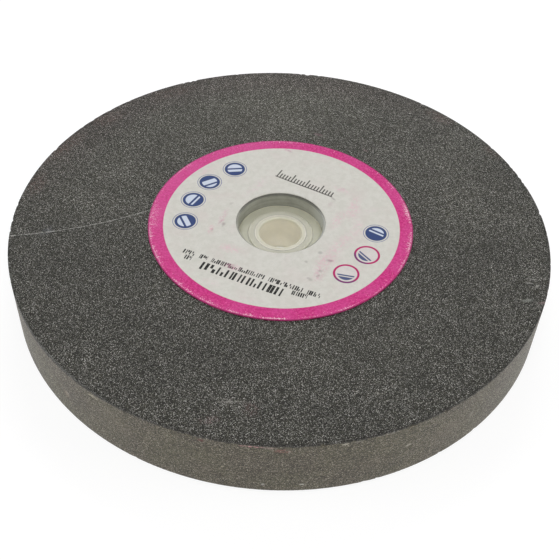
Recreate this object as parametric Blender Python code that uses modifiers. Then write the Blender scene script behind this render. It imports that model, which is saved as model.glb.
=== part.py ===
"""Bench grinding wheel, lying on its rear face with the printed side up.

A vitrified abrasive disc has a moulded lining in its bore, a card blotter on each face and three
plastic reducing bushes, one inside the other, which bring the bore down to the spindle's size.
Metres, +Z up. The wheel's axis is the Z axis, and the rear blotter's underside is at z = 0.
"""

import math

import bpy

# Abrasive wheel
WHEEL_DIAMETER = 0.200
WHEEL_WIDTH = 0.025
RIM_ROUNDING = 0.0007
HOLE_ROUNDING = 0.0005

# Bore lining
LINING_BORE = 0.032
LINING_WALL = 0.0026
LINING_ROUNDING = 0.0004

# Card blotters
BLOTTER_DIAMETER = 0.0992
BLOTTER_THICKNESS = 0.0005
BLOTTER_HOLE_MARGIN = 0.0008

# Reducing bushes: each wall is the ring's full thickness, and the bushes sit centred in the bore
OUTER_BUSH_WALL = 0.0032
OUTER_BUSH_LENGTH = 0.0144
MIDDLE_BUSH_WALL = 0.0022
MIDDLE_BUSH_LENGTH = 0.0158
INNER_BUSH_WALL = 0.0017
INNER_BUSH_LENGTH = 0.0156
BUSH_ROUNDING = 0.0005

# Clearances: in the bore between one ring and the next, and under the card
RING_CLEARANCE = 0.0003
CARD_CLEARANCE = 0.0003

# How fine the turned shapes are
WHEEL_STEPS = 128
CARD_STEPS = 96
RING_STEPS = 72
WHEEL_ARC_STEPS = 3
RING_ARC_STEPS = 2
SMOOTH_ANGLE = math.radians(50)

# Heights worked out from the sizes above
WHEEL_BOTTOM = BLOTTER_THICKNESS + CARD_CLEARANCE
WHEEL_TOP = WHEEL_BOTTOM + WHEEL_WIDTH
WHEEL_MIDDLE = WHEEL_BOTTOM + WHEEL_WIDTH / 2
FRONT_CARD_BOTTOM = WHEEL_TOP + CARD_CLEARANCE

# Radii worked out from the bore inwards and outwards
WHEEL_RADIUS = WHEEL_DIAMETER / 2
LINING_INNER = LINING_BORE / 2
LINING_OUTER = LINING_INNER + LINING_WALL
WHEEL_HOLE = LINING_OUTER + RING_CLEARANCE
CARD_OUTER = BLOTTER_DIAMETER / 2
CARD_HOLE = LINING_INNER + BLOTTER_HOLE_MARGIN


def clear_scene():
    """Removes every object, so that the file holds only the wheel."""
    for old in list(bpy.data.objects):
        bpy.data.objects.remove(old, do_unlink=True)


def plain_material(name, colour, roughness, subsurface=0.0):
    """A non-metallic Principled BSDF with the piece's own colour and roughness."""
    material = bpy.data.materials.new(name)
    material.use_nodes = True
    shader = material.node_tree.nodes["Principled BSDF"]
    shader.inputs["Base Color"].default_value = (*colour, 1.0)
    shader.inputs["Roughness"].default_value = roughness
    shader.inputs["Metallic"].default_value = 0.0
    shader.inputs["Subsurface Weight"].default_value = subsurface
    material.diffuse_color = (*colour, 1.0)
    return material


def corner(centre_r, centre_z, radius, start, steps):
    """A quarter circle that turns clockwise from the start angle, in degrees, as (r, z) points."""
    turns = [math.radians(start - 90 * i / steps) for i in range(steps + 1)]
    return [(centre_r + radius * math.cos(a), centre_z + radius * math.sin(a)) for a in turns]


def rounded_section(inner, outer, bottom, top, outer_rounding, inner_rounding, steps):
    """The closed section of a ring: down its outer side, in along its bottom and up its bore.

    Each rounding is limited to just under half of the ring's wall and height.
    """
    most = 0.45 * min(outer - inner, top - bottom)
    a = min(outer_rounding, most)
    b = min(inner_rounding, most)
    return (
        corner(outer - a, top - a, a, 90, steps)
        + corner(outer - a, bottom + a, a, 0, steps)
        + corner(inner + b, bottom + b, b, -90, steps)
        + corner(inner + b, top - b, b, 180, steps)
    )


def square_section(inner, outer, bottom, top):
    """The section of a die-cut washer, in the same order as a rounded one."""
    return [(outer, top), (outer, bottom), (inner, bottom), (inner, top)]


def turned(name, section, steps, material, collection):
    """Turns a closed section of (r, z) points round the Z axis with a Screw modifier."""
    count = len(section)
    mesh = bpy.data.meshes.new(name)
    mesh.from_pydata(
        [(r, 0.0, z) for r, z in section],
        [(i, (i + 1) % count) for i in range(count)],
        [],
    )
    mesh.materials.append(material)
    piece = bpy.data.objects.new(name, mesh)
    collection.objects.link(piece)
    screw = piece.modifiers.new("turn", "SCREW")
    screw.axis = "Z"
    screw.angle = math.tau
    screw.steps = steps
    screw.render_steps = steps
    screw.use_merge_vertices = True
    screw.merge_threshold = 0.00001
    screw.use_smooth_shade = True
    return piece


def shade_round(piece):
    """Makes the turned surface real, then shades it smooth with its sharp edges kept sharp."""
    graph = bpy.context.evaluated_depsgraph_get()
    mesh = bpy.data.meshes.new_from_object(piece.evaluated_get(graph))
    mesh.name = piece.name
    piece.modifiers.clear()
    piece.data = mesh
    mesh.shade_smooth()
    mesh.set_sharp_from_angle(angle=SMOOTH_ANGLE)


def abrasive_wheel(collection):
    """The straight disc: two flat faces, a running edge with worn rims, and a hole for the lining."""
    grit = plain_material("abrasive_grit", (0.09, 0.088, 0.08), 0.95)
    section = rounded_section(
        WHEEL_HOLE,
        WHEEL_RADIUS,
        WHEEL_BOTTOM,
        WHEEL_TOP,
        RIM_ROUNDING,
        HOLE_ROUNDING,
        WHEEL_ARC_STEPS,
    )
    return turned("abrasive_wheel", section, WHEEL_STEPS, grit, collection)


def bore_lining(collection):
    """The smooth grey ring moulded into the wheel's hole, flush with both faces."""
    cement = plain_material("lining_cement", (0.2, 0.2, 0.18), 0.8)
    section = rounded_section(
        LINING_INNER,
        LINING_OUTER,
        WHEEL_BOTTOM,
        WHEEL_TOP,
        LINING_ROUNDING,
        LINING_ROUNDING,
        RING_ARC_STEPS,
    )
    return turned("bore_lining", section, RING_STEPS, cement, collection)


def blotter(name, bottom, material, collection):
    """A card washer, die-cut square, with a hole a little larger than the bore."""
    section = square_section(CARD_HOLE, CARD_OUTER, bottom, bottom + BLOTTER_THICKNESS)
    return turned(name, section, CARD_STEPS, material, collection)


def reducing_bush(name, outer, wall, length, material, collection):
    """A plain plastic ring with rounded mouths, centred between the wheel's faces."""
    section = rounded_section(
        outer - wall,
        outer,
        WHEEL_MIDDLE - length / 2,
        WHEEL_MIDDLE + length / 2,
        BUSH_ROUNDING,
        BUSH_ROUNDING,
        RING_ARC_STEPS,
    )
    return turned(name, section, RING_STEPS, material, collection)


def bush_set(collection):
    """Three bushes, each one clearance inside the bore of the ring round it."""
    rings = [
        ("reducing_bush_outer", OUTER_BUSH_WALL, OUTER_BUSH_LENGTH, (0.5, 0.5, 0.42)),
        ("reducing_bush_middle", MIDDLE_BUSH_WALL, MIDDLE_BUSH_LENGTH, (0.58, 0.58, 0.5)),
        ("reducing_bush_inner", INNER_BUSH_WALL, INNER_BUSH_LENGTH, (0.62, 0.62, 0.54)),
    ]
    bore = LINING_INNER
    bushes = []
    for name, wall, length, colour in rings:
        outer = bore - RING_CLEARANCE
        plastic = plain_material(name + "_plastic", colour, 0.45, subsurface=0.2)
        bushes.append(reducing_bush(name, outer, wall, length, plastic, collection))
        bore = outer - wall
    return bushes


def build():
    """Makes the seven pieces in one collection, with the smooth shading worked out last."""
    clear_scene()
    collection = bpy.data.collections.new("bench_grinding_wheel")
    bpy.context.scene.collection.children.link(collection)
    printed_card = plain_material("printed_card", (0.6, 0.6, 0.56), 0.7)
    plain_card = plain_material("plain_card", (0.5, 0.48, 0.42), 0.8)
    pieces = [
        abrasive_wheel(collection),
        bore_lining(collection),
        blotter("front_blotter", FRONT_CARD_BOTTOM, printed_card, collection),
        blotter("rear_blotter", 0.0, plain_card, collection),
        *bush_set(collection),
    ]
    for piece in pieces:
        shade_round(piece)


build()
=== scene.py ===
"""Looks of the bench grinding wheel: its grit, card blotters, bore lining and reducing bushes.

Every piece is a ring turned round the wheel's axis, worked out on a grid of angle by outline point.
Lengths in the tables are in millimetres and become metres through MM. Angles are in degrees, seen
from above, with 0 along +X and 90 along +Y, which is away from the camera.
"""

import math

import bpy
import numpy as np
from mathutils import Matrix, Vector


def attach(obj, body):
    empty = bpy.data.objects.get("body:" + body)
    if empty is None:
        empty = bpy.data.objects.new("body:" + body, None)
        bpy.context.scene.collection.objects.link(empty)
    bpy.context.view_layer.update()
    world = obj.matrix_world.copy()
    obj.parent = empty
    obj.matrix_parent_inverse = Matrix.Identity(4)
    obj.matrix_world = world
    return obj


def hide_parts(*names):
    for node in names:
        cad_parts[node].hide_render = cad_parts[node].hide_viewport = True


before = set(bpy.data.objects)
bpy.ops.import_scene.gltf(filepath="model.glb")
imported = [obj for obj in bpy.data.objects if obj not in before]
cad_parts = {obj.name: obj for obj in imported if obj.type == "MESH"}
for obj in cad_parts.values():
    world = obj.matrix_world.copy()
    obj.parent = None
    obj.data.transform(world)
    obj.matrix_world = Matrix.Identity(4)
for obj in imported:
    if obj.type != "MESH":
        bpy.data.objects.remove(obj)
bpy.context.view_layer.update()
MM = 0.001

# The photograph's camera, fitted to the wheel's two rims, the blotter and the bore
CAMERA_PLACE = (0.57 * MM, -265.28 * MM, 266.46 * MM)
CAMERA_PITCH = 45.64
CAMERA_ROLL = -2.32
CAMERA_LENS = 61.28

# Plain studio: an even white surround, and soft lamps behind, to the sides and above the camera
SKY_STRENGTH = 0.36
WHITE = (1.0, 1.0, 1.0, 1.0)
# Half the floor's width, in metres
FLOOR_HALF = 3.0
# How strongly the floor glows: for the object, and to the camera below the bore, lower there as painted
# shade of the wheel, round the wheel and far off
GLOW_FOR_OBJECT = 0.6
# Below the bore: painted shade of the wheel
SHADED_GLOW_IN_BORE = 0.5
GLOW_NEAR = 0.8
GLOW_FAR = 1.0
# Where each lamp stands, in metres, how wide it is and its power in watts
LAMPS = [
    ("back_lamp", (0.0, 0.9, 0.7), 0.8, 4.4),
    ("left_lamp", (-0.9, -0.1, 0.35), 0.7, 2.6),
    ("right_lamp", (0.9, -0.1, 0.35), 0.7, 3.0),
    ("front_lamp", (0.0, -0.6, 0.8), 0.7, 3.4),
]


class Recipe:
    """One material's node tree, with short calls for the maths that its pattern needs."""

    def __init__(self, name):
        self.material = bpy.data.materials.new(name)
        self.material.use_nodes = True
        self.tree = self.material.node_tree
        self.shader = self.tree.nodes["Principled BSDF"]
        self.place = self.vector("SCALE", self.node("ShaderNodeTexCoord").outputs["Object"], scale=1 / MM)

    def node(self, kind, **settings):
        """A new node of a kind, with settings given by name."""
        made = self.tree.nodes.new(kind)
        for key, value in settings.items():
            setattr(made, key, value)
        return made

    def feed(self, socket, value):
        """Links another node's output to the socket, or sets a plain value on it."""
        if isinstance(value, bpy.types.NodeSocket):
            self.tree.links.new(value, socket)
        elif isinstance(value, tuple) and socket.type == "RGBA":
            socket.default_value = (*value, 1.0)
        else:
            socket.default_value = value

    def fed(self, made, values):
        """The node, with its inputs fed in order."""
        for socket, value in zip(made.inputs, values):
            self.feed(socket, value)
        return made

    def maths(self, operation, *values):
        """One maths step on plain values or outputs."""
        return self.fed(self.node("ShaderNodeMath", operation=operation), values).outputs[0]

    def chain(self, operation, values):
        """The values put together by one operation, from first to last."""
        result = values[0]
        for value in values[1:]:
            result = self.maths(operation, result, value)
        return result

    def total(self, *values):
        """Sum of all the values."""
        return self.chain("ADD", values)

    def times(self, *values):
        """Product of all the values."""
        return self.chain("MULTIPLY", values)

    def most(self, *values):
        """Largest of all the values."""
        return self.chain("MAXIMUM", values)

    def less(self, value, taken):
        """A value less what is taken off it."""
        return self.maths("SUBTRACT", value, taken)

    def apart(self, value, middle):
        """How far a value is from a middle, either way."""
        return self.maths("ABSOLUTE", self.less(value, middle))

    def vector(self, operation, *values, scale=None):
        """One vector step, which gives a number for a length or a dot product."""
        made = self.fed(self.node("ShaderNodeVectorMath", operation=operation), values)
        if scale is not None:
            self.feed(made.inputs["Scale"], scale)
        number = operation in ("LENGTH", "DOT_PRODUCT")
        return made.outputs["Value" if number else "Vector"]

    def parts(self, vector):
        """The X, Y and Z outputs of a vector."""
        return tuple(self.fed(self.node("ShaderNodeSeparateXYZ"), (vector,)).outputs)

    def joined(self, x, y, z):
        """The vector of three values."""
        return self.fed(self.node("ShaderNodeCombineXYZ"), (x, y, z)).outputs[0]

    def fade(self, value, start, end, low=0.0, high=1.0, kind="SMOOTHSTEP"):
        """Runs from low at start to high at end, smoothly unless LINEAR, and stays there outside."""
        made = self.node("ShaderNodeMapRange", interpolation_type=kind, clamp=True)
        return self.fed(made, (value, start, end, low, high)).outputs[0]

    def noise(self, scale, detail, roughness, vector=None):
        """Smooth noise about 0.5, with scale in waves per millimetre."""
        vector = self.place if vector is None else vector
        made = self.node("ShaderNodeTexNoise")
        names = ("Vector", "Scale", "Detail", "Roughness")
        for name, value in zip(names, (vector, scale, detail, roughness)):
            self.feed(made.inputs[name], value)
        return made.outputs["Fac"]

    def grains(self, vector, scale, output="Color"):
        """Voronoi cells, with scale in cells per millimetre."""
        made = self.node("ShaderNodeTexVoronoi", feature="F1")
        self.feed(made.inputs["Vector"], vector)
        self.feed(made.inputs["Scale"], scale)
        return made.outputs[output]

    def chance(self, number, seed):
        """Three even random numbers from 0 to 1 for each whole number."""
        made = self.node("ShaderNodeTexWhiteNoise", noise_dimensions="2D")
        self.feed(made.inputs["Vector"], self.joined(number, seed, 0.0))
        return self.parts(made.outputs["Color"])

    def blend(self, share, under, over, how="MIX"):
        """The colour under, with over laid on it by share."""
        made = self.node("ShaderNodeMix", data_type="RGBA", blend_type=how)
        made.clamp_factor = True
        self.feed(made.inputs[0], share)
        self.feed(made.inputs[6], under)
        self.feed(made.inputs[7], over)
        return made.outputs[2]

    def tinted(self, grey, tint):
        """A grey level times a tint."""
        return self.blend(1.0, self.joined(grey, grey, grey), tint, "MULTIPLY")

    def patch(self, origin, turn, half):
        """Distance from an origin as a share of the half sizes, 1 at the rim of the ellipsoid they give.

        The half sizes lie along axes that turn degrees have turned about Z. A missing third is endless.
        Turned axes give a distance of 2 at most.
        """
        origin = origin if len(origin) == 3 else (*origin, 0.0)
        half = half if len(half) == 3 else (*half, 1.0e4)
        if not turn:
            share = tuple(1.0 / length for length in half)
            start = tuple(-place / length for place, length in zip(origin, half))
            return self.vector("LENGTH", self.vector("MULTIPLY_ADD", self.place, share, start))
        made = self.node("ShaderNodeMapping", vector_type="TEXTURE")
        self.feed(made.inputs["Vector"], self.place)
        made.inputs["Location"].default_value = origin
        made.inputs["Rotation"].default_value = (0.0, 0.0, math.radians(turn))
        made.inputs["Scale"].default_value = tuple(2.0 * length for length in half)
        sphere = self.node("ShaderNodeTexGradient", gradient_type="SPHERICAL")
        self.feed(sphere.inputs["Vector"], made.outputs[0])
        return self.fade(sphere.outputs["Fac"], 1.0, 0.0, 0.0, 2.0, "LINEAR")

    def away(self, centre=(0.0, 0.0)):
        """Distance in the plane from a centre, in millimetres."""
        return self.patch(centre, 0.0, (1.0, 1.0))

    def inside(self, distance, radius, soft=0.12):
        """1 within a radius and 0 outside, with a soft edge."""
        return self.fade(distance, radius + soft, radius - soft)

    def band(self, value, middle, width, soft=0.09):
        """1 within half the width of a middle and 0 outside, with soft edges."""
        return self.fade(self.apart(value, middle), width / 2 + soft, width / 2 - soft)

    def marked(self, colour, marks, broken, thin, short, edge):
        """The colour with marks on it: rows of place, turn, half sizes, colour and cover.

        Short ones are cut back by thin, the others by broken. edge is where a mark starts and is full.
        """
        for place, turn, *half, tone, cover in marks:
            mask = self.fade(self.patch(place, turn, half), *edge)
            mask = self.times(mask, thin if half[0] < short else broken, cover)
            colour = self.blend(mask, colour, shade(tone))
        return colour

    def row(self, origin, turn):
        """Place along and across a row that starts at an origin, in millimetres."""
        made = self.node("ShaderNodeMapping", vector_type="TEXTURE")
        self.feed(made.inputs["Vector"], self.place)
        made.inputs["Location"].default_value = (*origin, 0.0)
        made.inputs["Rotation"].default_value = (0.0, 0.0, math.radians(turn))
        return self.parts(made.outputs[0])[:2]

    def bump(self, height, distance, strength=1.0):
        """Feeds the shader's normal from a height, with distance in millimetres."""
        made = self.node("ShaderNodeBump")
        self.feed(made.inputs["Height"], height)
        made.inputs["Distance"].default_value = distance * MM
        made.inputs["Strength"].default_value = strength
        self.feed(self.shader.inputs["Normal"], made.outputs[0])

    def finish(self, colour, roughness, specular=0.5):
        """Sets the base colour, the roughness and the plain level of gloss."""
        self.feed(self.shader.inputs["Base Color"], colour)
        self.feed(self.shader.inputs["Roughness"], roughness)
        self.shader.inputs["Specular IOR Level"].default_value = specular
        return self.material


def shade(level):
    """A colour as it looks, in steps from 0 to 255 for red, green and blue, as the shader's own values."""
    parts = [step / 255 for step in level]
    return tuple(p / 12.92 if p <= 0.04045 else ((p + 0.055) / 1.055) ** 2.4 for p in parts)


def ring_of(node):
    """(inner radius, outer radius, bottom, top) of a turned node, from its own points."""
    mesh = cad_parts[node].data
    points = np.empty(len(mesh.vertices) * 3, dtype=np.float32)
    mesh.vertices.foreach_get("co", points)
    points = points.reshape(-1, 3)
    radius = np.hypot(points[:, 0], points[:, 1])
    return float(radius.min()), float(radius.max()), float(points[:, 2].min()), float(points[:, 2].max())


def stretch(start, end, count):
    """Count points from start towards end, without the end."""
    return np.column_stack([np.linspace(a, b, count, endpoint=False) for a, b in zip(start, end)])


def round_corner(centre_r, centre_z, radius, start, count):
    """Count points of a quarter circle that turns clockwise from start, without its last."""
    turn = np.radians(start - 90 * np.arange(count) / count)
    return np.column_stack([centre_r + radius * np.cos(turn), centre_z + radius * np.sin(turn)])


def ring_outline(ring, outer_rounding, inner_rounding, side, face, bore, arc=5):
    """The closed (r, z) section of a ring: down its side, in along the bottom, up the bore, out again.

    side, face and bore are the numbers of points on the straight stretches, and arc those of a corner.
    """
    inner, outer, bottom, top = ring
    a, b = outer_rounding, inner_rounding
    return np.vstack([
        round_corner(outer - a, top - a, a, 90, arc),
        stretch((outer, top - a), (outer, bottom + a), side),
        round_corner(outer - a, bottom + a, a, 0, arc),
        stretch((outer - a, bottom), (inner + b, bottom), face),
        round_corner(inner + b, bottom + b, b, -90, arc),
        stretch((inner, bottom + b), (inner, top - b), bore),
        round_corner(inner + b, top - b, b, 180, arc),
        stretch((inner + b, top), (outer - a, top), face),
    ])


def placed(name, data):
    """A new object in the scene's own collection."""
    made = bpy.data.objects.new(name, data)
    bpy.context.scene.collection.objects.link(made)
    return made


def turned_ring(name, outline, turns, material, shape=None):
    """A ring whose point (i, j) is (r cos a, r sin a, z), with a = 2 pi j / turns.

    r and z are those of outline point i, after shape(r, a, z) has moved them where it is given.
    Faces join point (i, j) to its neighbours, and both ways round close on themselves.
    """
    count = len(outline)
    angle = np.arange(turns) * (2 * np.pi / turns)
    r = np.repeat(outline[:, :1], turns, axis=1)
    z = np.repeat(outline[:, 1:], turns, axis=1)
    a = np.broadcast_to(angle, r.shape)
    if shape is not None:
        r, z = shape(r, a, z)
    points = np.stack([r * np.cos(a), r * np.sin(a), z], axis=-1).reshape(-1, 3)
    i, j = np.meshgrid(np.arange(count), np.arange(turns), indexing="ij")
    down, along = (i + 1) % count, (j + 1) % turns
    corners = [i * turns + j, down * turns + j, down * turns + along, i * turns + along]
    faces = np.stack(corners, axis=-1).reshape(-1, 4)
    mesh = bpy.data.meshes.new(name)
    mesh.vertices.add(len(points))
    mesh.vertices.foreach_set("co", points.ravel())
    mesh.loops.add(faces.size)
    mesh.loops.foreach_set("vertex_index", faces.ravel())
    mesh.polygons.add(len(faces))
    mesh.polygons.foreach_set("loop_start", np.arange(0, faces.size, 4))
    mesh.update(calc_edges=True)
    mesh.shade_smooth()
    mesh.materials.append(material)
    return placed(name, mesh)


def stands_for(piece, node):
    """The piece takes a node's place and rides on the wheel's one body."""
    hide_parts(node)
    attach(piece, "root")


def ripple(a, z, count, amount, seed):
    """Sum of count waves round and up a ring, amount / count ** 0.5 each: even, seeded unevenness."""
    draw = np.random.default_rng(seed)
    rounds = draw.integers(3, 90, count)
    climb = draw.uniform(-0.6, 0.6, count) / MM
    start = draw.uniform(0, 2 * np.pi, count)
    waves = np.sin(np.multiply.outer(a, rounds) + np.multiply.outer(z, climb) + start)
    return waves.sum(axis=-1) * amount / math.sqrt(count)


# Abrasive wheel

# Points round the wheel, and the roundings of its rims and hole
WHEEL_TURNS = 1160
RIM_ROUNDING = 0.3
HOLE_ROUNDING = 0.5
# Number of small chips drawn at random on the two rims, and their seed
RIM_CHIPS = 60
CHIP_SEED = 5
# Chips that the photograph shows: angle, height above the wheel's underside, size and depth
SEEN_CHIPS = [
    (-133.5, 10.4, 1.6, 0.25),
    (-125.0, 21.9, 1.8, 0.3),
    (-64.0, 13.7, 1.2, 0.2),
    (-64.4, 25.0, 1.6, 0.5),
    (-57.0, 25.0, 1.3, 0.45),
    (-91.3, 3.2, 1.2, 0.25),
    (-81.0, 25.0, 1.2, 0.4),
]
# Scuffs on the wall, and a painted highlight along the top rim: angle, height, half length and half
# height, colour as it looks and cover
WALL_SCUFFS_AND_HIGHLIGHT = [
    (-133.5, 10.4, 1.8, 2.2, (160, 148, 134), 0.7),
    (-125.1, 21.6, 2.6, 0.7, (178, 172, 155), 0.8),
    (-64.2, 13.9, 1.5, 0.8, (185, 180, 168), 0.75),
    (-62.5, 15.0, 2.4, 0.4, (150, 142, 132), 0.5),
    (-49.2, 12.7, 1.0, 1.6, (165, 158, 148), 0.5),
    (-35.1, 20.6, 1.2, 1.0, (165, 162, 154), 0.5),
    (-91.3, 3.2, 0.8, 0.8, (175, 172, 165), 0.7),
    (-93.6, 23.8, 5.4, 0.4, (205, 150, 156), 1.0),
    (-90.4, 23.7, 2.6, 0.35, (172, 150, 146), 0.9),
    (-88.0, 22.2, 3.6, 1.3, (138, 94, 88), 0.9),
    (-84.2, 3.6, 1.2, 0.5, (192, 188, 180), 0.95),
    (-98.7, 11.0, 0.7, 0.4, (180, 172, 150), 0.8),
    (-86.8, 21.9, 0.5, 0.35, (185, 178, 168), 1.0),
    (-102.5, 22.9, 1.4, 0.7, (96, 40, 42), 1.0),
    # Not a scuff: a painted highlight along the top rim
    (-68.6, 24.1, 6.4, 0.4, (158, 154, 146), 1.0),
    (-74.6, 23.8, 2.6, 0.35, (134, 130, 122), 0.9),
    (-77.0, 23.6, 1.3, 0.5, (196, 192, 178), 1.0),
    (-71.0, 10.8, 7.0, 3.5, (116, 106, 90), 0.3),
    (-105.0, 12.0, 14.0, 9.0, (110, 106, 86), 0.3),
    (-122.0, 14.0, 12.0, 8.0, (124, 114, 102), 0.3),
    (-55.0, 12.0, 12.0, 6.0, (122, 110, 100), 0.35),
]
# Marks on the face: place, turn, half length and half width, colour as it looks and cover
FACE_MARKS = [
    ((-15.2, -83.8), -4.0, 4.2, 1.5, (132, 128, 122), 0.4),
    ((-19.5, -91.5), 8.0, 4.2, 1.8, (122, 94, 96), 0.45),
    ((-12.0, -84.0), 2.0, 4.6, 0.4, (150, 148, 143), 0.7),
    ((-7.0, -86.5), 0.0, 3.5, 3.5, (92, 68, 68), 0.5),
    ((92.8, -35.8), 15.0, 2.6, 0.8, (150, 128, 126), 0.55),
    ((87.3, -35.0), 12.0, 2.9, 1.0, (148, 152, 145), 0.5),
    ((91.0, -24.6), -8.0, 1.9, 0.35, (160, 159, 154), 0.8),
    ((91.7, -27.9), 40.0, 1.6, 0.6, (160, 158, 152), 0.75),
    ((89.3, -26.5), -5.0, 1.9, 0.45, (154, 153, 148), 0.75),
    ((95.2, -24.0), 60.0, 1.4, 0.5, (142, 140, 136), 0.6),
    ((14.0, 55.4), -20.0, 2.5, 1.0, (126, 94, 104), 0.5),
    ((33.4, 46.0), -40.0, 1.8, 0.7, (130, 104, 106), 0.5),
    ((6.0, 66.2), -38.0, 3.4, 0.35, (150, 150, 147), 0.6),
    ((1.4, 74.6), 70.0, 1.8, 0.3, (135, 134, 131), 0.45),
    ((14.2, 65.4), 45.0, 3.2, 0.4, (132, 131, 128), 0.45),
    ((-86.0, -9.8), 60.0, 4.0, 2.0, (118, 122, 128), 0.4),
    ((-95.0, 17.0), 80.0, 9.0, 4.0, (104, 74, 70), 0.35),
    ((-88.5, 40.5), 60.0, 14.0, 4.5, (108, 80, 74), 0.35),
    ((-74.0, 60.5), 42.0, 12.0, 4.5, (110, 84, 78), 0.3),
    ((-49.0, 81.5), 28.0, 14.0, 4.0, (110, 86, 80), 0.3),
    ((66.0, 71.0), -42.0, 9.0, 4.0, (112, 84, 80), 0.35),
    ((85.5, 48.5), -60.0, 7.0, 3.0, (110, 86, 82), 0.3),
]
# Half length under which a mark is short, where marks start and are full as shares of their half sizes,
# and how far a scuff or the painted rim highlight reaches into the wall
SHORT_MARK = 3.0
MARK_EDGE = (1.1, 0.3)
WALL_MARK_DEPTH = 4.0
# Broad tones of the face: place, half sizes, how much its grains stand out, and how much dust and painted
# sheen lift it. The large lift at the back is painted sheen.
FACE_TONES = [
    # Painted sheen towards the back, with some dust
    ((-4.0, 72.0), (76.0, 50.0), 1.06, 0.0165),
    ((-72.0, 22.0), (38.0, 50.0), 1.12, 0.006),
    ((66.0, 34.0), (44.0, 56.0), 1.12, 0.003),
    ((-60.0, -58.0), (44.0, 30.0), 0.9, 0.0),
    ((-50.0, 52.0), (34.0, 34.0), 1.0, 0.005),
    ((22.0, -60.0), (44.0, 18.0), 1.0, 0.006),
    ((0.0, -96.0), (70.0, 22.0), 1.03, 0.0),
]
# The long scratch: three points on it, half its width and its colour as it looks
LONG_SCRATCH = ((-99.0, -12.9), (-73.3, -6.4), (-46.7, 6.1))
SCRATCH_HALF = 0.29
SCRATCH_TONE = (196, 195, 190)
# Grains in a millimetre: the main ones, the fine ones, and those that truing has drawn out
MAIN_GRAINS = 5.6
FINE_GRAINS = 7.5
DRAWN_GRAINS = 5.4
# Tints of the faces' dark and pale grains, of the rust at the back rim, and of the trued edge's grains in
# two casts and where they are pale, and the colour of the line where truing stopped
DARK_TINT = (1.0, 0.965, 0.675)
PALE_TINT = (1.0, 0.972, 0.915)
RUST_TINT = (1.0, 0.915, 0.945)
TRUED_TINTS = ((1.0, 0.88, 0.49), (1.0, 0.825, 0.54))
TRUED_PALE_TINT = (1.0, 0.905, 0.73)
FRINGE_TONE = (56, 52, 49)
# The way round the wheel where truing has stopped furthest short of the front rim
LIP_ANGLE = 205


def arc_through(first, second, third):
    """The centre and radius of the circle through three points."""
    (ax, ay), (bx, by), (cx, cy) = first, second, third
    twice = 2 * (ax * (by - cy) + bx * (cy - ay) + cx * (ay - by))
    a, b, c = ax * ax + ay * ay, bx * bx + by * by, cx * cx + cy * cy
    x = (a * (by - cy) + b * (cy - ay) + c * (ay - by)) / twice
    y = (a * (cx - bx) + b * (ax - cx) + c * (bx - ax)) / twice
    return (x, y), math.hypot(ax - x, ay - y)


def chipped(ring, seed):
    """A shape function that wears a wheel's rims: chips, and a fine unevenness all over.

    A chip takes depth times 1 - (d / size) squared off the radius within its size, where d is the
    distance from its centre along the rim, up and inwards. Where it is over an edge, it takes 0.7 times
    as much off that edge's height. The rest is cut back by 0.02 mm and roughened by a hundredth or so.
    """
    _, outer, bottom, top = ring
    draw = np.random.default_rng(seed)
    angles = draw.uniform(0, 360, RIM_CHIPS)
    heights = np.where(draw.random(RIM_CHIPS) < 0.8, top - bottom, 0.0) / MM
    sizes = draw.uniform(0.5, 1.2, RIM_CHIPS)
    depths = draw.uniform(0.1, 0.3, RIM_CHIPS)
    chips = SEEN_CHIPS + list(zip(angles, heights, sizes, depths))
    middle = (bottom + top) / 2

    def shape(r, a, z):
        inwards = outer - r
        r = np.minimum(r - 0.02 * MM + draw.normal(0.0, 0.012 * MM, r.shape), outer)
        z = z + draw.normal(0.0, 0.008 * MM, z.shape)
        flat, level = r.copy(), z.copy()
        for angle, height, size, depth in chips:
            away = np.angle(np.exp(1j * (a - math.radians(angle)))) * outer
            up = z - (bottom + height * MM)
            share = 1 - (away ** 2 + up ** 2 + inwards ** 2) / (size * MM) ** 2
            bite = np.clip(share, 0, None) * depth * MM
            flat = flat - bite * (inwards < 2 * MM)
            over = abs(bottom + height * MM - middle) > (top - bottom) / 2 - size * MM
            level = level - over * bite * 0.7 * np.sign(z - middle)
        return flat, np.clip(level, bottom, top)

    return shape


def face_grit(kit, reach, outer, wander, speck, fine, glint):
    """Colour of the flat faces: dark grit, pale grains, broad tones, dust, painted sheen and rust at the
    back rim.
    """
    level = kit.total(
        0.006,
        kit.times(kit.maths("POWER", speck, 10.0), 0.58),
        kit.times(kit.maths("POWER", fine, 2.0), 0.02),
        kit.fade(glint, 0.98, 0.99, 0.0, 0.35),
    )
    clump = kit.times(
        kit.fade(wander, 0.3, 0.7, 0.85, 1.15),
        kit.fade(reach, outer - 1.4, outer - 0.5, 1.0, 0.86),
    )
    cloud = kit.fade(kit.noise(0.05, 4.0, 0.6), 0.3, 0.7, 0.86, 1.14)
    # Each broad tone's lift adds dust, and towards the back painted sheen
    tone, dust_and_sheen = 1.04, 0.0
    for place, half, gain, lift in FACE_TONES:
        near = kit.fade(kit.patch(place, 0.0, half), 1.0, 0.1)
        tone = kit.times(tone, kit.fade(near, 0.0, 1.0, 1.0, gain))
        dust_and_sheen = kit.total(dust_and_sheen, kit.times(near, lift))
    grey = kit.times(kit.total(kit.times(level, clump, tone), dust_and_sheen), cloud)
    colour = kit.tinted(grey, kit.blend(kit.fade(level, 0.02, 0.25), DARK_TINT, PALE_TINT))
    x, y, _ = kit.parts(kit.place)
    rusty = kit.times(
        kit.fade(reach, 79.0, 93.0),
        kit.fade(kit.total(kit.times(x, -0.34), kit.times(y, 0.94)), 20.0, 85.0),
        kit.fade(wander, 0.3, 0.6, 0.5, 1.0),
    )
    return kit.blend(rusty, colour, RUST_TINT, "MULTIPLY")


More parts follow.
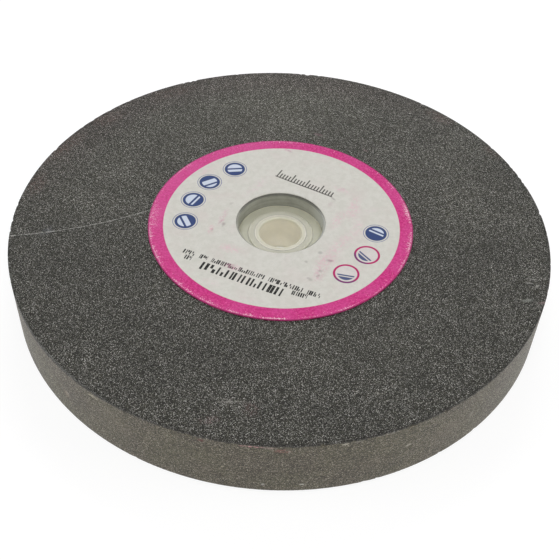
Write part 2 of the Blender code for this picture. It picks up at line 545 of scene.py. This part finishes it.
def trued_grit(kit, speck, fine):
    """Colour of the running edge: paler, finer grains, drawn out a little, with faint lines round it."""
    x, y, z = kit.parts(kit.place)
    lines = kit.joined(kit.times(x, 0.1), kit.times(y, 0.1), kit.times(z, 1.7))
    lines = kit.noise(1.0, 3.0, 0.6, lines)
    drawn = kit.joined(kit.times(x, 0.65), kit.times(y, 0.65), z)
    drawn, _, _ = kit.parts(kit.grains(drawn, DRAWN_GRAINS))
    level = kit.total(
        0.004,
        kit.times(kit.maths("POWER", drawn, 6.0), 0.375),
        kit.times(kit.maths("POWER", speck, 6.0), 0.14),
        kit.times(fine, 0.04),
        kit.fade(lines, 0.3, 0.7, -0.004, 0.026),
    )
    cloud = kit.fade(kit.noise(0.08, 4.0, 0.6), 0.3, 0.7, 0.93, 1.07)
    tint = kit.blend(kit.fade(kit.noise(0.05, 3.0, 0.6), 0.4, 0.6), *TRUED_TINTS)
    tint = kit.blend(kit.fade(level, 0.08, 0.26), tint, TRUED_PALE_TINT)
    return kit.tinted(kit.times(level, cloud), tint)


def scratch_on_face(kit):
    """Share of the long scratch: an arc, broken up where it skips over the grains, and faded at its end."""
    centre, radius = arc_through(*LONG_SCRATCH)
    x, y, _ = kit.parts(kit.place)
    return kit.times(
        kit.fade(kit.apart(kit.away(centre), radius), SCRATCH_HALF, 0.0),
        kit.fade(kit.noise(0.45, 4.0, 0.8), 0.36, 0.6, 0.6, 1.0),
        kit.fade(kit.noise(1.3, 2.0, 0.6), 0.42, 0.56, 0.3, 1.0),
        kit.fade(x, -46.0, -50.0),
        kit.fade(y, 30.0, 20.0),
    )


def grit_material(ring):
    """Pressed grit: dark bonded grains with pale glints.

    Truing has left the running edge paler and finer, but not quite up to the front rim, and a broken
    dark line shows where it stopped. Long marks are broken up by the grain, and short ones less so.
    """
    _, outer, bottom, top = (length / MM for length in ring)
    kit = Recipe("bonded_grit")
    x, y, z = kit.parts(kit.place)
    wander = kit.noise(0.8, 3.0, 0.65)
    flat = kit.joined(x, y, 0.0)
    furthest = math.radians(LIP_ANGLE)
    towards = kit.vector("NORMALIZE", flat)
    towards = kit.vector("DOT_PRODUCT", towards, (math.cos(furthest), math.sin(furthest), 0.0))
    lip = kit.fade(towards, 0.65, 1.1, 0.75, 2.8)
    depth = kit.total(kit.less(top - 0.7, z), wander, wander)
    trued = kit.times(kit.fade(kit.less(depth, lip), 0.1, 0.55), kit.fade(z, bottom, bottom + 0.4))

    speck, _, _ = kit.parts(kit.grains(kit.place, MAIN_GRAINS))
    fine, glint, _ = kit.parts(kit.grains(kit.place, FINE_GRAINS))
    reach = kit.vector("LENGTH", flat)
    face = face_grit(kit, reach, outer, wander, speck, fine, glint)
    wall = trued_grit(kit, speck, fine)

    broken = kit.fade(kit.noise(1.3, 3.0, 0.7), 0.42, 0.6)
    thin = kit.fade(broken, 0.0, 1.0, 0.6, 1.0)
    face = kit.marked(face, FACE_MARKS, broken, thin, SHORT_MARK, MARK_EDGE)
    face = kit.blend(scratch_on_face(kit), face, shade(SCRATCH_TONE))
    # Scuffs on the wall, and the painted highlight along the top rim
    scuffs_and_highlight = []
    for angle, height, long, high, tone, cover in WALL_SCUFFS_AND_HIGHLIGHT:
        turn = math.radians(angle)
        place = (outer * math.cos(turn), outer * math.sin(turn), bottom + height)
        scuffs_and_highlight.append((place, angle + 90, long, WALL_MARK_DEPTH, high, tone, cover))
    wall = kit.marked(wall, scuffs_and_highlight, broken, thin, SHORT_MARK, MARK_EDGE)

    fringe = kit.times(
        kit.fade(kit.apart(kit.total(depth, 0.1), lip), 0.5, 0.15),
        kit.fade(broken, 0.0, 1.0, 0.15, 0.75),
        kit.fade(z, top - 6.0, top - 4.0),
        kit.fade(reach, outer - 0.9, outer - 0.3),
    )
    colour = kit.blend(fringe, kit.blend(trued, face, wall), shade(FRINGE_TONE))
    pores = kit.grains(kit.place, MAIN_GRAINS, "Distance")
    kit.bump(kit.total(kit.times(pores, -1.0), kit.times(speck, 0.6)), 0.1, 0.8)
    return kit.finish(colour, kit.blend(trued, (0.6, 0.6, 0.6), (0.45, 0.45, 0.45)), 0.35)


def abrasive_wheel():
    """The disc, with grid rows close together at its rims, where the grit has worn and chipped."""
    ring = ring_of("abrasive_wheel")
    inner, outer, bottom, top = ring
    edge, hole = RIM_ROUNDING * MM, HOLE_ROUNDING * MM
    last = (outer - inner) / MM - 1.2
    spread = np.concatenate([np.arange(0, 4, 0.5), np.geomspace(4, last, 12)]) * MM
    face_r = outer - edge - spread
    outline = np.vstack([
        round_corner(outer - edge, top - edge, edge, 90, 4),
        stretch((outer, top - edge), (outer, bottom + edge), 24),
        round_corner(outer - edge, bottom + edge, edge, 0, 4),
        np.column_stack([face_r, np.full_like(face_r, bottom)]),
        round_corner(inner + hole, bottom + hole, hole, -90, 3),
        stretch((inner, bottom + hole), (inner, top - hole), 3),
        round_corner(inner + hole, top - hole, hole, 180, 3),
        np.column_stack([face_r[::-1], np.full_like(face_r, top)]),
    ])
    piece = turned_ring("grit_disc", outline, WHEEL_TURNS, grit_material(ring), chipped(ring, CHIP_SEED))
    stands_for(piece, "abrasive_wheel")


# Bore lining

LINING_TURNS = 240
LINING_ROUNDING = 0.4
# Colours of the casting as it looks: its darker and paler rings, its right side, painted paler as painted
# light, and grime with the painted shadow of the card's rim
CASTING_DARK = (133, 134, 123)
CASTING_PALE = (162, 162, 151)
CASTING_RIGHT_PAINTED_LIGHT = (182, 184, 177)
GRIME_AND_CARD_SHADOW = (64, 63, 55)


def lining_material(ring):
    """Smooth grey casting with faint rings from the core that moulded it, grime and painted shadow on its
    front edge.
    """
    top = ring[3] / MM
    kit = Recipe("cast_lining")
    x, y, z = kit.parts(kit.place)
    bands = kit.noise(0.9, 3.0, 0.6, kit.joined(kit.times(x, 0.05), kit.times(y, 0.05), z))
    mottle = kit.noise(0.35, 3.0, 0.6)
    level = kit.fade(kit.total(kit.times(bands, 0.6), kit.times(mottle, 0.4)), 0.3, 0.7)
    colour = kit.blend(level, shade(CASTING_DARK), shade(CASTING_PALE))
    # Painted light: the right side of the bore is painted paler
    colour = kit.blend(kit.fade(x, 10.5, 16.0, 0.0, 0.85), colour, shade(CASTING_RIGHT_PAINTED_LIGHT))
    # Grime with the painted shadow of the card's rim along the top edge, darkest at the back
    grime_and_shadow = kit.times(kit.fade(z, top - 0.5, top - 0.15), kit.fade(y, 2.0, 11.0, 0.2, 0.7))
    colour = kit.blend(grime_and_shadow, colour, shade(GRIME_AND_CARD_SHADOW))
    kit.bump(bands, 0.05, 0.5)
    return kit.finish(colour, 0.5, 0.5)


def bore_lining():
    """The moulded ring in the wheel's hole, as high as the wheel."""
    ring = ring_of("bore_lining")
    outline = ring_outline(ring, LINING_ROUNDING * MM, LINING_ROUNDING * MM, 4, 3, 16)
    piece = turned_ring("moulded_lining", outline, LINING_TURNS, lining_material(ring))
    stands_for(piece, "bore_lining")


# Card blotters

PRINTED_TURNS = 900
PLAIN_TURNS = 480
# How far the printed card's underside and top come down onto the wheel, and the plain card's top up to it
PRINTED_SEAT = 0.26
PRINTED_TOP_SEAT = 0.25
PLAIN_SEAT = 0.24
PRINTED_ROUNDING = 0.12
PLAIN_ROUNDING = 0.1
# The printed card's frayed rim and its slight lift: number of waves, amount and seed
FRAY = (24, 0.03 * MM, 11)
LIFT = (12, 0.03 * MM, 12)
# The border's inner edge was printed a little off the card's centre
BORDER_INNER = 44.22
BORDER_CENTRE = (0.32, 0.15)
# Colours as they look: the plain card, the printed one's paper with its fibres and its blush, the border's
# ink where it is full, clouded, faded, and dirty with painted shade at the rim, and where it has gone, and
# the inks of the other print
PLAIN_CARD = ((176, 168, 150), (198, 191, 175))
PAPER = ((203, 201, 193), (210, 208, 201))
FIBRE = (192, 194, 184)
BLUSH = (206, 190, 188)
MAGENTA = ((186, 26, 108), (209, 58, 137))
MAGENTA_CLOUD = (208, 78, 148)
MAGENTA_FADED = (214, 110, 168)
MAGENTA_DIRTY_AND_SHADED = (112, 30, 66)
BARE_BORDER = (236, 210, 218)
NAVY = (28, 56, 112)
NAVY_LINE = (72, 88, 146)
CAP_TINT = (200, 210, 229)
ROSE = (178, 20, 100)
ROSE_DARK = (92, 48, 108)
ROSE_FIELD = (222, 196, 216)
JET_INK = (14, 13, 12)
JET_INK_THIN = (20, 18, 17)
LINE_INK = (40, 38, 36)
# Radii of the marks: a disc, the cap in it and the thin line round it, and a rose ring and the cap in it
DISC_RADIUS = 4.0
DISC_CAP_RADIUS = 2.95
DISC_LINE_RADIUS = 4.65
ROSE_RING_RADIUS = 4.35
ROSE_CAP_RADIUS = 3.2
# Blue discs: centre, the way that the pale cap faces, how far back it is cut and where a line crosses it
BLUE_DISCS = [
    ((-19.1, 30.0), 98.0, -1.6, 0.2),
    ((-28.4, 21.4), -60.0, -1.3, 1.3),
    ((-33.8, 10.6), 150.0, -1.5, -0.3),
    ((-35.7, -1.7), 205.0, -1.4, 0.9),
    ((35.5, -4.3), 60.0, -0.2, 1.0),
]
# Rose rings: centre, and the way that the blue cap faces
ROSE_RINGS = [((31.75, -16.0), -140.0), ((24.0, -26.0), -100.0)]
# Rows of ink-jet strokes: start, turn, pitch, stroke height and width, and the printed stretches
STROKE_ROWS = [
    ((-34.7, -17.5), -22.1, 0.78, 2.1, 0.43,
     [(0.0, 4.6), (6.6, 9.6), (11.4, 32.0), (33.8, 47.0), (48.6, 53.4)]),
    ((-34.7, -20.2), -22.1, 0.78, 2.1, 0.43, [(0.6, 3.4)]),
    ((4.7, -36.2), -19.0, 0.78, 2.0, 0.43, [(0.0, 5.8)]),
    ((-28.0, -24.5), -22.4, 1.62, 3.8, 0.76, [(0.0, 31.8)]),
]
# Smudges on the card: centre, turn, half length and half width, colour as it looks and cover
SMUDGES = [
    ((27.5, 9.0), 80.0, 8.0, 3.0, (222, 168, 188), 0.6),
    ((21.5, 2.5), 60.0, 7.0, 2.5, (220, 168, 186), 0.55),
    ((17.0, -20.0), 65.0, 8.0, 4.0, (218, 160, 182), 0.6),
    ((14.5, -27.0), 70.0, 5.0, 2.5, (206, 148, 170), 0.65),
    ((14.8, -15.8), 0.0, 1.1, 1.0, (104, 98, 100), 0.5),
    ((18.4, -19.9), 10.0, 1.3, 0.8, (118, 98, 100), 0.5),
    ((14.8, -25.2), 20.0, 1.1, 0.9, (122, 104, 108), 0.5),
    ((9.7, -20.8), 0.0, 0.8, 0.7, (140, 134, 128), 0.5),
    ((14.0, -27.7), 40.0, 1.2, 0.8, (128, 108, 110), 0.45),
    ((11.3, -29.7), 0.0, 0.9, 0.9, (122, 120, 112), 0.45),
    ((19.7, 14.6), -50.0, 1.6, 0.6, (96, 84, 84), 0.5),
    ((18.7, 11.3), 60.0, 1.8, 1.0, (190, 170, 172), 0.4),
    ((23.6, 20.3), 20.0, 1.6, 1.0, (186, 164, 168), 0.4),
    ((24.2, 33.7), -30.0, 2.6, 1.0, (212, 178, 182), 0.8),
    ((-21.2, -2.7), 70.0, 1.6, 0.7, (122, 104, 104), 0.45),
    ((-22.5, -1.4), 60.0, 1.6, 0.6, (150, 138, 134), 0.4),
    ((-25.3, -5.7), 80.0, 1.2, 0.6, (150, 116, 120), 0.45),
    ((-19.2, 9.3), 40.0, 1.2, 0.8, (160, 154, 146), 0.4),
    ((-17.0, -24.3), -10.0, 1.8, 1.2, (140, 110, 116), 0.45),
    ((10.5, -29.0), 0.0, 0.8, 0.7, (126, 116, 122), 0.4),
    ((17.5, -19.5), 20.0, 1.0, 0.8, (140, 108, 124), 0.4),
    ((-21.8, 1.5), 75.0, 6.0, 1.4, (206, 152, 174), 0.7),
    ((-21.6, -2.3), 80.0, 1.2, 0.6, (130, 100, 112), 0.4),
    ((-25.8, -5.6), 80.0, 3.0, 1.3, (222, 156, 180), 0.65),
    ((-18.0, -15.5), -15.0, 5.0, 2.5, (226, 170, 190), 0.6),
    ((-16.5, -24.8), -20.0, 3.5, 2.0, (222, 160, 186), 0.65),
    ((-31.0, 27.5), 40.0, 4.5, 1.6, (224, 180, 196), 0.5),
    ((-10.0, 20.0), 55.0, 9.0, 2.5, (216, 188, 198), 0.5),
    ((23.5, 19.5), -30.0, 5.0, 1.8, (224, 174, 194), 0.55),
    ((1.6, 43.4), -30.0, 2.6, 0.9, (206, 132, 168), 0.7),
    ((2.5, 42.6), -35.0, 1.8, 0.5, (150, 130, 136), 0.3),
    ((33.5, 8.5), 20.0, 5.0, 2.0, (218, 200, 204), 0.4),
    ((-24.0, -33.0), -20.0, 5.0, 2.0, (226, 196, 206), 0.35),
    ((-9.0, -40.5), -8.0, 5.0, 1.5, (224, 196, 204), 0.35),
    ((-47.0, 4.4), 7.0, 2.4, 0.25, (238, 198, 214), 1.0),
    ((28.5, -2.5), 80.0, 7.0, 3.0, (222, 178, 194), 0.5),
    ((22.5, -11.0), 60.0, 8.0, 3.5, (222, 172, 190), 0.5),
]
# Half length under which a smudge is short, and where smudges start and are full
SHORT_SMUDGE = 2.0
SMUDGE_EDGE = (1.2, 0.2)
# Where the border's ink has rubbed off: centre, turn, half length along the rim, half width and cover
RUBS = [
    ((-1.5, -48.9), 0.0, 5.5, 0.7, 0.95),
    ((-9.5, -48.0), -12.0, 4.0, 1.1, 0.7),
    ((-15.0, -46.4), -18.0, 3.0, 0.9, 0.75),
    ((-24.0, -42.0), -30.0, 7.0, 1.3, 0.6),
    ((-33.0, -36.0), -43.0, 8.0, 1.2, 0.55),
    ((-44.0, -20.5), -66.0, 8.0, 1.4, 0.5),
    ((-48.2, -9.0), -79.0, 8.0, 1.2, 0.55),
    ((-46.5, 0.0), 90.0, 8.0, 3.0, 0.7),
    ((-48.6, 9.0), 80.0, 6.0, 0.9, 0.45),
    ((-40.0, 28.6), 55.0, 10.0, 1.0, 0.55),
    ((12.0, -47.8), 14.0, 6.0, 1.0, 0.5),
    ((24.5, -42.6), 30.0, 6.0, 1.2, 0.55),
    ((36.0, -33.5), 47.0, 6.0, 1.0, 0.4),
    ((44.6, -20.0), 66.0, 7.0, 1.2, 0.5),
    ((48.0, -8.0), 80.0, 8.0, 1.5, 0.75),
    ((48.0, 9.0), 98.0, 9.0, 1.8, 0.9),
    ((42.5, 25.0), 120.0, 8.0, 0.9, 0.45),
    ((0.0, 49.0), 0.0, 26.0, 0.7, 0.45),
]
# The graduated line: start, turn, length and space between its marks
GRADUATION = ((-2.9, 26.9), -27.2, 25.0, 1.25)
LINE_WIDTH = 0.52
MARK_HEIGHT = 2.6
FIFTH_EXTRA = 1.8


def bordered(kit, colour, cloud, outer):
    """The card with its magenta border, whose ink is uneven, and rubbed and scored off towards the rim."""
    x, y, _ = kit.parts(kit.place)
    grain = kit.noise(1.1, 3.0, 0.7)
    border = kit.less(1.0, kit.inside(kit.away(BORDER_CENTRE), BORDER_INNER))
    ink = kit.blend(kit.fade(grain, 0.38, 0.62), shade(MAGENTA[0]), shade(MAGENTA[1]))
    ink = kit.blend(kit.fade(cloud, 0.35, 0.65, 0.0, 0.35), ink, shade(MAGENTA_CLOUD))
    leftwards = kit.total(kit.times(x, -0.87), kit.times(y, 0.5))
    ink = kit.blend(kit.fade(leftwards, 5.0, 46.0, 0.0, 0.22), ink, shade(MAGENTA_FADED))
    colour = kit.blend(border, colour, ink)

    reach = kit.away()
    wear = 0.0
    for place, turn, long, wide, cover in RUBS:
        rub = kit.fade(kit.patch(place, turn, (long, wide)), 1.3, 0.2, 0.0, cover)
        wear = kit.most(wear, rub)
    outwards = kit.vector("NORMALIZE", kit.joined(x, y, 0.0))
    across, up, _ = kit.parts(kit.vector("SCALE", outwards, scale=140.0))
    scores = kit.noise(1.0, 2.0, 0.5, kit.joined(across, up, kit.times(reach, 0.4)))
    dots = kit.noise(2.8, 2.0, 0.6)
    edge = kit.noise(2.6, 3.0, 0.7)
    within = kit.fade(reach, outer - 0.3, outer - 0.6)
    dotted = kit.fade(kit.total(dots, kit.times(wear, 0.12)), 0.65, 0.71)
    dotted = kit.times(dotted, kit.fade(reach, outer - 4.5, outer - 1.0, 0.25, 1.0), within)
    scored = kit.fade(kit.total(scores, kit.times(wear, 0.17)), 0.69, 0.76)
    scored = kit.times(scored, kit.fade(reach, outer - 4.2, outer - 0.8), within)
    rim = kit.times(
        kit.fade(kit.total(edge, kit.times(wear, 0.14)), 0.58, 0.68),
        kit.band(reach, outer - 0.85, 0.35, 0.15),
    )
    bare = kit.times(kit.most(dotted, scored, rim), border, 0.85)
    # Dirt with painted shade on the outermost rim of the border
    dirt_and_shade = kit.fade(reach, outer - 0.75, outer - 0.15, 0.0, 0.6)
    colour = kit.blend(dirt_and_shade, colour, shade(MAGENTA_DIRTY_AND_SHADED))
    return kit.blend(bare, colour, shade(BARE_BORDER))


def with_round_marks(kit, colour):
    """The card with its blue discs, each with a pale cap crossed by a line, and its rose rings."""
    for centre, facing, cut, line in BLUE_DISCS:
        reach = kit.away(centre)
        ahead, _ = kit.row(centre, facing)
        pale = kit.times(kit.inside(reach, DISC_CAP_RADIUS), kit.fade(ahead, cut - 0.1, cut + 0.1))
        pale = kit.times(pale, kit.less(1.0, kit.band(ahead, line, 0.85)))
        colour = kit.blend(kit.times(pale, 0.85), colour, shade(CAP_TINT))
        mark = kit.times(kit.inside(reach, DISC_RADIUS), kit.less(1.0, pale))
        colour = kit.blend(kit.times(mark, 0.97), colour, shade(NAVY))
        hoop = kit.band(reach, DISC_LINE_RADIUS, 0.25)
        colour = kit.blend(kit.times(hoop, 0.85), colour, shade(NAVY_LINE))
    for centre, facing in ROSE_RINGS:
        reach = kit.away(centre)
        ahead, _ = kit.row(centre, facing)
        cap = kit.times(kit.inside(reach, ROSE_CAP_RADIUS), kit.fade(ahead, 0.5, 0.7))
        cap = kit.times(cap, kit.less(1.0, kit.band(ahead, 1.5, 0.5)))
        field = kit.inside(reach, DISC_RADIUS)
        colour = kit.blend(kit.times(field, 0.15), colour, shade(ROSE_FIELD))
        colour = kit.blend(kit.times(cap, 0.9), colour, shade(NAVY))
        hoop = kit.blend(kit.fade(ahead, 1.6, 3.8, 0.0, 0.8), shade(ROSE), shade(ROSE_DARK))
        colour = kit.blend(kit.band(reach, ROSE_RING_RADIUS, 0.8), colour, hoop)
    return colour


def with_stroke_rows(kit, colour, drops):
    """The card with its rows: a stroke to each pitch, whose height, width and place its number gives."""
    for number, (start, turn, pitch, high, wide, stretches) in enumerate(STROKE_ROWS):
        along, across = kit.row(start, turn)
        step = kit.maths("DIVIDE", along, pitch)
        first, second, third = kit.chance(kit.maths("FLOOR", step), number + 3.0)
        shift = kit.times(kit.less(second, 0.5), 0.35)
        gap = kit.times(kit.maths("ABSOLUTE", kit.total(kit.maths("FRACT", step), -0.5, shift)), pitch)
        half = kit.fade(third, 0.0, 1.0, wide * 0.42, wide * 0.75)
        upright = kit.fade(kit.less(gap, half), 0.06, -0.06)
        reach = kit.fade(first, 0.55, 0.62, high / 2, high / 4)
        lift = kit.times(kit.less(high / 2, reach), kit.fade(second, 0.45, 0.55, -1.0, 1.0))
        rise = kit.maths("ABSOLUTE", kit.total(across, lift))
        strokes = kit.times(upright, kit.fade(kit.less(rise, reach), 0.09, -0.05))
        printed = 0.0
        for low, high_end in stretches:
            share = kit.band(along, (low + high_end) / 2, high_end - low, 0.05)
            printed = kit.most(printed, share)
        tone = shade(JET_INK if wide > 0.5 else JET_INK_THIN)
        colour = kit.blend(kit.times(strokes, printed, drops), colour, tone)
    return colour


def with_graduated_line(kit, colour, drops):
    """The card with its plain line, which has a mark at each space and a taller one at every fifth."""
    start, turn, length, space = GRADUATION
    along, across = kit.row(start, turn)
    step = kit.maths("DIVIDE", along, space)
    gap = kit.times(kit.apart(kit.maths("FRACT", step), 0.5), space)
    whole = kit.maths("LESS_THAN", kit.maths("MODULO", kit.maths("FLOOR", step), 5.0), 0.5)
    tall = kit.total(MARK_HEIGHT, kit.times(whole, FIFTH_EXTRA))
    marks = kit.times(
        kit.band(gap, 0.0, LINE_WIDTH),
        kit.fade(across, -0.1, 0.05),
        kit.fade(kit.less(across, tall), 0.08, -0.08),
    )
    line = kit.most(marks, kit.band(across, 0.0, LINE_WIDTH))
    line = kit.times(line, kit.band(along, length / 2, length, 0.05), drops, 0.95)
    return kit.blend(line, colour, shade(LINE_INK))


def card_material(ring):
    """Printed card: a white field, a magenta border, round marks, rows of ink-jet strokes and a graduated
    line, with the smudges of use over it all."""
    kit = Recipe("printed_blotter")
    fibre = kit.noise(1.6, 3.0, 0.65)
    cloud = kit.noise(0.12, 3.0, 0.6)
    mottle = kit.noise(0.55, 2.0, 0.5)
    colour = kit.blend(kit.fade(mottle, 0.3, 0.7), shade(PAPER[0]), shade(PAPER[1]))
    colour = kit.blend(kit.fade(fibre, 0.52, 0.72, 0.0, 0.55), colour, shade(FIBRE))
    colour = kit.blend(kit.fade(cloud, 0.45, 0.75, 0.0, 0.25), colour, shade(BLUSH))
    colour = bordered(kit, colour, cloud, ring[1] / MM)
    colour = with_round_marks(kit, colour)
    drops = kit.fade(kit.noise(2.6, 2.0, 0.6), 0.32, 0.5, 0.82, 1.0)
    colour = with_stroke_rows(kit, colour, drops)
    colour = with_graduated_line(kit, colour, drops)
    broken = kit.fade(kit.noise(1.2, 4.0, 0.8), 0.4, 0.68)
    thin = kit.fade(broken, 0.0, 1.0, 0.7, 1.0)
    colour = kit.marked(colour, SMUDGES, broken, thin, SHORT_SMUDGE, SMUDGE_EDGE)
    kit.bump(fibre, 0.03, 0.4)
    return kit.finish(colour, 0.7, 0.3)


def front_blotter():
    """The printed washer, stuck down on the wheel's front face, with a slightly uneven edge.

    Its outer half is 0.1 mm smaller and ripples a little. It lifts with the square of the way out.
    """
    inner, outer, bottom, top = ring_of("front_blotter")
    ring = (inner, outer, bottom - PRINTED_SEAT * MM, top - PRINTED_TOP_SEAT * MM)
    outline = ring_outline(ring, PRINTED_ROUNDING * MM, PRINTED_ROUNDING * MM, 2, 34, 2, arc=3)

    def shape(r, a, z):
        out = (r - inner) / (outer - inner)
        frayed = ripple(a, z * 0, *FRAY) * (out > 0.5)
        lift = ripple(a, r * 0.2, *LIFT) * out ** 2
        return r + frayed - 0.1 * MM * (out > 0.5), z + np.abs(lift)

    piece = turned_ring("printed_washer", outline, PRINTED_TURNS, card_material(ring), shape)
    stands_for(piece, "front_blotter")


def plain_card_material():
    """Uncoated grey-buff card with its fibres showing."""
    kit = Recipe("plain_blotter")
    fibre = kit.noise(1.6, 4.0, 0.7)
    colour = kit.blend(kit.fade(fibre, 0.3, 0.7), shade(PLAIN_CARD[0]), shade(PLAIN_CARD[1]))
    kit.bump(fibre, 0.04, 0.5)
    return kit.finish(colour, 0.85, 0.25)


def rear_blotter():
    """The plain washer under the wheel, thick enough to reach it."""
    inner, outer, bottom, top = ring_of("rear_blotter")
    ring = (inner, outer, bottom, top + PLAIN_SEAT * MM)
    outline = ring_outline(ring, PLAIN_ROUNDING * MM, PLAIN_ROUNDING * MM, 2, 20, 2, arc=3)
    piece = turned_ring("plain_washer", outline, PLAIN_TURNS, plain_card_material())
    stands_for(piece, "rear_blotter")


# Reducing bushes

BUSH_TURNS = 180
# Roundings of a bush's mouth, and of edges that close up against a neighbour
MOUTH_ROUNDING = 0.45
TIGHT_ROUNDING = 0.03
# Colour low in a bore, where light comes up through the plastic
GLOW = (242, 237, 222)
# Node and name; how far the outside and the bore close up when a bush is pressed home, and how far its top
# is set back; width and height of the slope at its outer edges; and its colours on the ends and in the bore,
# where it is painted paler as painted light
BUSHES = [
    (("reducing_bush_outer", "outer_reducing_ring"),
     (0.295, 0.147, 0.0), (0.05, 0.05), (200, 199, 180), (216, 213, 190)),
    (("reducing_bush_middle", "middle_reducing_ring"),
     (0.147, 0.147, 0.25), (0.4, 0.42), (200, 198, 181), (228, 226, 208)),
    (("reducing_bush_inner", "inner_reducing_ring"),
     (0.147, 0.0, 0.1), (0.05, 0.05), (210, 207, 189), (231, 226, 209)),
]


def bush_material(name, ring, ends, bore):
    """Natural white plastic: light passes a little way in, with a faint cloudiness from moulding.

    Its bore is painted paler as painted light, most of all low down, where light comes up from under the
    wheel, and so is the slope at its outer top edge, against the crevice's shade beside it.
    """
    inner, outer, bottom, top = (length / MM for length in ring)
    kit = Recipe(name + "_plastic")
    _, _, z = kit.parts(kit.place)
    cloud = kit.noise(0.25, 2.0, 0.5)
    shine = kit.fade(cloud, 0.3, 0.7, 0.94, 1.0)
    reach = kit.away()
    middle, half = (bottom + top) / 2, (top - bottom) / 2
    # Painted light: the bore wall away from the ends, and lower down more so
    deep = kit.times(
        kit.fade(kit.apart(z, middle), half, half - 2.0),
        kit.fade(reach, inner + 0.6, inner + 0.2),
    )
    # Painted light: the slope at the outer top edge, paler against the crevice's shade
    edge = kit.times(kit.fade(reach, outer - 0.7, outer - 0.35), kit.fade(z, top - 1.0, top - 0.6))
    base = kit.blend(kit.most(deep, edge), shade(ends), shade(bore))
    base = kit.blend(kit.times(deep, kit.fade(z, bottom + 9.0, bottom + 1.0)), base, shade(GLOW))
    colour = kit.vector("SCALE", base, scale=shine)
    shader = kit.shader
    shader.inputs["Subsurface Weight"].default_value = 1.0
    shader.inputs["Subsurface Radius"].default_value = (1.0, 1.0, 1.0)
    shader.inputs["Subsurface Scale"].default_value = 1.5 * MM
    return kit.finish(colour, 0.4, 0.4)


def reducing_bushes():
    """Three plain rings with rounded mouths, one inside the other.

    The slope at an outer edge takes height * (d / width) off the ring's height, where d is how far a
    point is inside the slope's width.
    """
    for (node, name), (spread, closed, back), (width, height), ends, bore in BUSHES:
        inner, outer, bottom, top = ring_of(node)
        ring = (inner - closed * MM, outer + spread * MM, bottom, top - back * MM)
        bottom, top = ring[2:]
        middle = (bottom + top) / 2
        mouth = (TIGHT_ROUNDING if closed else MOUTH_ROUNDING) * MM
        outline = ring_outline(ring, TIGHT_ROUNDING * MM, mouth, 8, 16, 12, arc=4)
        r, z = outline.T
        share = np.clip((r - ring[1] + width * MM) / (width * MM), 0.0, 1.0)
        most = (top - bottom) / 2 - height * MM * share
        outline = np.column_stack([r, middle + np.clip(z - middle, -most, most)])
        piece = turned_ring(name, outline, BUSH_TURNS, bush_material(name, ring, ends, bore))
        stands_for(piece, node)


# Studio

def studio():
    """A white floor and surround, and the soft lamps.

    The floor is partly lit from within, like a light table. In the open the object gets as much from it as
    from a plain floor of 0.91, and in its own shadow and the bore more. The camera sees it part white of
    its own, so that the shadow stays faint, and whiter far off, where less light reaches it. Below the
    bore the camera sees it less bright, as painted shade of the wheel. From underneath it can't be seen,
    and leaves the rear in view.
    """
    kit = Recipe("white_floor")
    shader = kit.shader
    path = kit.node("ShaderNodeLightPath")
    seen = kit.most(*(path.outputs[f"Is {kind} Ray"] for kind in ("Camera", "Glossy", "Transmission")))
    kit.feed(shader.inputs["Base Color"], kit.blend(seen, (0.3, 0.3, 0.3), (0.25, 0.25, 0.25)))
    shader.inputs["Roughness"].default_value = 0.9
    shader.inputs["Specular IOR Level"].default_value = 0.0
    shader.inputs["Emission Color"].default_value = WHITE
    distance = kit.away()
    # Less bright below the bore, as painted shade of the wheel, and whiter far off
    glow = kit.total(
        kit.fade(distance, 20.0, 60.0, SHADED_GLOW_IN_BORE, GLOW_NEAR),
        kit.fade(distance, 300.0, 1000.0, 0.0, GLOW_FAR - GLOW_NEAR),
    )
    kit.feed(shader.inputs["Emission Strength"], kit.blend(seen, (GLOW_FOR_OBJECT,) * 3, glow))
    under = kit.node("ShaderNodeNewGeometry").outputs["Backfacing"]
    kit.feed(shader.inputs["Alpha"], kit.less(1.0, under))
    low, high = -FLOOR_HALF, FLOOR_HALF
    mesh = bpy.data.meshes.new("floor")
    mesh.from_pydata([(low, low, 0), (high, low, 0), (high, high, 0), (low, high, 0)], [], [(0, 1, 2, 3)])
    mesh.materials.append(kit.material)
    placed("floor", mesh)

    world = bpy.data.worlds.new("surround")
    bpy.context.scene.world = world
    world.use_nodes = True
    nodes, links = world.node_tree.nodes, world.node_tree.links
    sky = nodes["Background"]
    sky.inputs["Color"].default_value = WHITE
    sky.inputs["Strength"].default_value = SKY_STRENGTH
    white = nodes.new("ShaderNodeBackground")
    white.inputs["Color"].default_value = WHITE
    choice = nodes.new("ShaderNodeMixShader")
    rays = nodes.new("ShaderNodeLightPath")
    links.new(rays.outputs["Is Camera Ray"], choice.inputs[0])
    links.new(sky.outputs[0], choice.inputs[1])
    links.new(white.outputs[0], choice.inputs[2])
    links.new(choice.outputs[0], nodes["World Output"].inputs["Surface"])

    for name, place, size, power in LAMPS:
        light = bpy.data.lights.new(name, "AREA")
        light.shape = "DISK"
        light.size = size
        light.energy = power
        lamp = placed(name, light)
        lamp.location = place
        lamp.rotation_euler = Vector(place).to_track_quat("Z", "Y").to_euler()


def photo_camera():
    """The camera that sees the wheel as the photograph does."""
    pitch, roll = math.radians(CAMERA_PITCH), math.radians(CAMERA_ROLL)
    ahead = Vector((0.0, math.cos(pitch), -math.sin(pitch)))
    level = Vector((1.0, 0.0, 0.0))
    upright = level.cross(ahead)
    right = math.cos(roll) * level - math.sin(roll) * upright
    up = math.sin(roll) * level + math.cos(roll) * upright
    data = bpy.data.cameras.new("photo_camera")
    data.lens = CAMERA_LENS
    data.clip_start = 0.01
    camera = placed("photo_camera", data)
    turn = Matrix((right, up, -ahead)).transposed().to_4x4()
    camera.matrix_world = Matrix.Translation(CAMERA_PLACE) @ turn
    bpy.context.scene.camera = camera


photo_camera()
studio()
abrasive_wheel()
bore_lining()
front_blotter()
rear_blotter()
reducing_bushes()
bpy.context.scene.view_settings.view_transform = "Standard"
